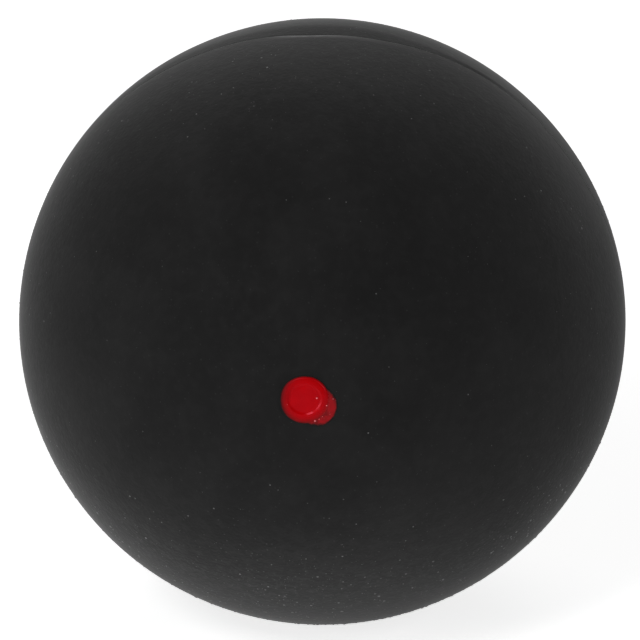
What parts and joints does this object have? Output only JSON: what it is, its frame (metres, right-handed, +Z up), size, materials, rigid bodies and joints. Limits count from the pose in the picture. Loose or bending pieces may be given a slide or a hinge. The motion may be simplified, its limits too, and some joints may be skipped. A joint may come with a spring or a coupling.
{
  "type": "squash ball",
  "caption": "Hollow matte black rubber ball for squash, bonded from half shells along a cemented seam, with a raised dished red speed dot over an earlier offset dot.",
  "frame": {"origin": "centre of the ball", "axes": "+Z up; +Y along the moulding axis towards the rear half, so the seam lies in the XZ plane and the dots are on the front half at -Y; +X to the right as seen from the front"},
  "size_m": [0.04, 0.0403, 0.04],
  "materials": {
    "shell_rubber": "matte",
    "cured_cement": "satin",
    "dot_paint": "satin",
    "underprint_paint": "matte"
  },
  "bodies": {
    "root": {"front_half_shell": "shell_rubber", "rear_half_shell": "shell_rubber", "seam_cement": "cured_cement", "red_dot": "dot_paint", "red_dot_underprint": "underprint_paint"}
  },
  "joints": []
}
